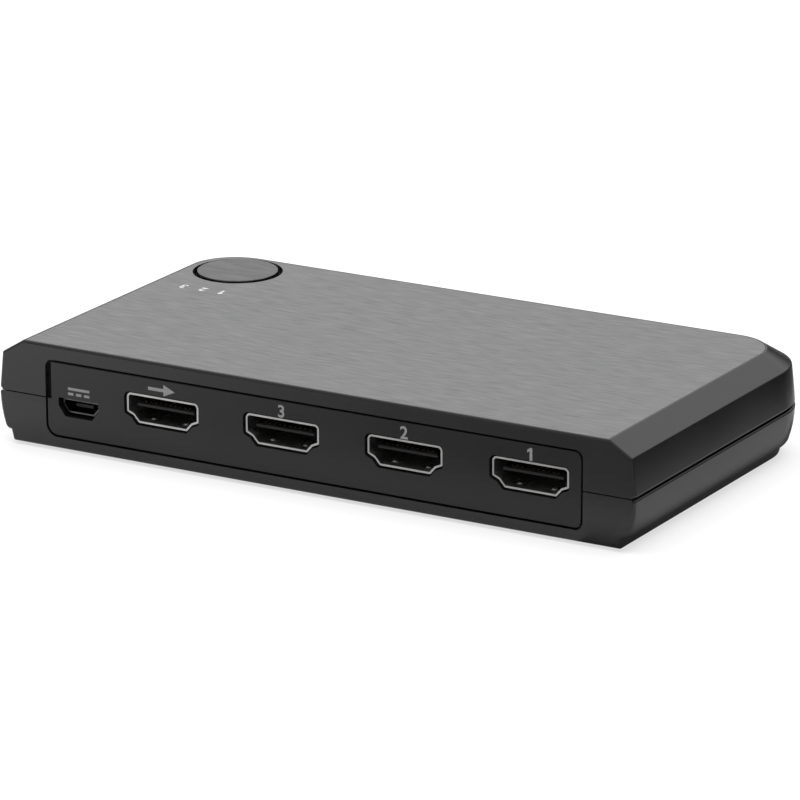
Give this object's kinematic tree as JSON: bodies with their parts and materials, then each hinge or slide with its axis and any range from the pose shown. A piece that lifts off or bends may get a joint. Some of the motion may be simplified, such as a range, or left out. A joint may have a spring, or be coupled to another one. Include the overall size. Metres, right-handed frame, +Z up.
{
  "type": "hdmi switch box",
  "caption": "Low box that joins one of several video sources to one screen, with a row of sockets on one side and a round select button on top.",
  "frame": {"origin": "middle of the box in plan, on the surface that its feet stand on", "axes": "+X to the right as the sockets are seen, +Y away from the socket side, +Z up"},
  "size_m": [0.127, 0.0704, 0.0195],
  "materials": {
    "casing_plastic": "moulded black, satin",
    "panel_plastic": "moulded black, satin, with printed marks",
    "brushed_plate": "brushed along X, anodised grey",
    "board_laminate": "green solder mask over glass laminate",
    "socket_metal": "folded sheet, nickel plated",
    "insulator_plastic": "moulded black, heat resistant",
    "contact_gold": "gold plated",
    "button_plastic": "moulded black",
    "plunger_plastic": "moulded dark grey",
    "switch_metal": "pressed spring steel, bright",
    "tinned_metal": "tinned",
    "foot_rubber": "moulded, matte",
    "screw_steel": "zinc plated",
    "lamp_plastic": "clear over a diode",
    "clear_plastic": "clear moulded acrylic",
    "chip_plastic": "moulded epoxy",
    "crystal_can": "bright pressed can",
    "capacitor_can": "bright drawn can",
    "ceramic_tan": "fired ceramic with tinned ends"
  },
  "bodies": {
    "box": {"lower_casing": "casing_plastic", "upper_casing": "casing_plastic", "top_plate": "brushed_plate", "port_panel": "panel_plastic", "circuit_board": "board_laminate", "output_socket_shell": "socket_metal", "output_socket_insulator": "insulator_plastic", "output_socket_contacts": "contact_gold", "input_3_socket_shell": "socket_metal", "input_3_socket_insulator": "insulator_plastic", "input_3_socket_contacts": "contact_gold", "input_2_socket_shell": "socket_metal", "input_2_socket_insulator": "insulator_plastic", "input_2_socket_contacts": "contact_gold", "input_1_socket_shell": "socket_metal", "input_1_socket_insulator": "insulator_plastic", "input_1_socket_contacts": "contact_gold", "power_socket_shell": "socket_metal", "power_socket_insulator": "insulator_plastic", "power_socket_contacts": "contact_gold", "switch_body": "insulator_plastic", "switch_cover": "switch_metal", "switch_dome": "switch_metal", "switch_terminals": "tinned_metal", "foot_pads": "foot_rubber", "casing_screws": "screw_steel", "board_screws": "screw_steel", "indicator_lamps": "lamp_plastic", "light_guide": "clear_plastic", "video_switch_chip": "chip_plastic", "control_chip": "chip_plastic", "control_chip_leads": "tinned_metal", "voltage_regulator": "chip_plastic", "crystal": "crystal_can", "bulk_capacitors": "capacitor_can", "surge_arrays": "chip_plastic", "ceramic_capacitors": "ceramic_tan", "resistors": "chip_plastic"},
    "select_button": {"select_button": "button_plastic", "button_disc": "brushed_plate"},
    "switch_plunger": {"switch_plunger": "plunger_plastic"}
  },
  "joints": [
    {"name": "button_press", "type": "slide", "parent": "box", "child": "select_button", "axis": [0, 0, -1], "range_m": [0, 0.0004], "stiffness_N_per_m": 3000},
    {"name": "plunger_press", "type": "slide", "parent": "box", "child": "switch_plunger", "axis": [0, 0, -1], "range_m": [0, 0.0004], "deforming": ["switch_dome"]}
  ],
  "couplings": [
    {"joint": "plunger_press", "follows": "button_press", "ratio": 1}
  ]
}
